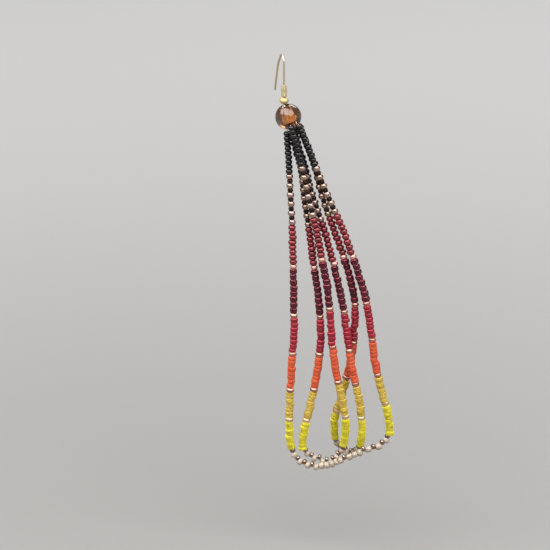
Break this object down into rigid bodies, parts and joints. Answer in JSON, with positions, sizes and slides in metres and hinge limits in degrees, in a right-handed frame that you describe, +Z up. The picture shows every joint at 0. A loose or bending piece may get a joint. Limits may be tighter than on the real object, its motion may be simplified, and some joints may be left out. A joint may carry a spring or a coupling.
{
  "type": "beaded fringe earring",
  "caption": "Drop earring: gold fishhook ear wire, amber glass bead and a long fringe of looped seed bead strings.",
  "frame": {"origin": "inside top of the ear wire's bend, where it hangs in the ear", "axes": "+Z up along the hanging fringe, -Y towards the front of the earring, +X to its right"},
  "size_m": [0.0358, 0.0139, 0.1307],
  "materials": {
    "gold_wire": "polished gold plate",
    "amber_glass": "clear, glossy",
    "thread": "matt twisted thread",
    "red_glass": "glossy, pearly",
    "black_glass": "glossy, opaque",
    "gold_beads": "polished metal coat",
    "bronze_beads": "dark metal coat",
    "garnet_glass": "clear, glossy",
    "raspberry_glass": "satin lined",
    "orange_glass": "opaque, satin",
    "honey_glass": "clear, glossy",
    "lemon_glass": "opaque, satin",
    "pearl_glass": "milky, pearly"
  },
  "bodies": {
    "root": {"ear_hook": "gold_wire", "hook_coil": "gold_wire", "hook_ball": "gold_wire", "amber_bead": "amber_glass", "thread_loop": "thread", "bead_loop_outer": "red_glass", "bead_loop_left": "red_glass", "bead_loop_right": "red_glass"}
  },
  "joints": []
}
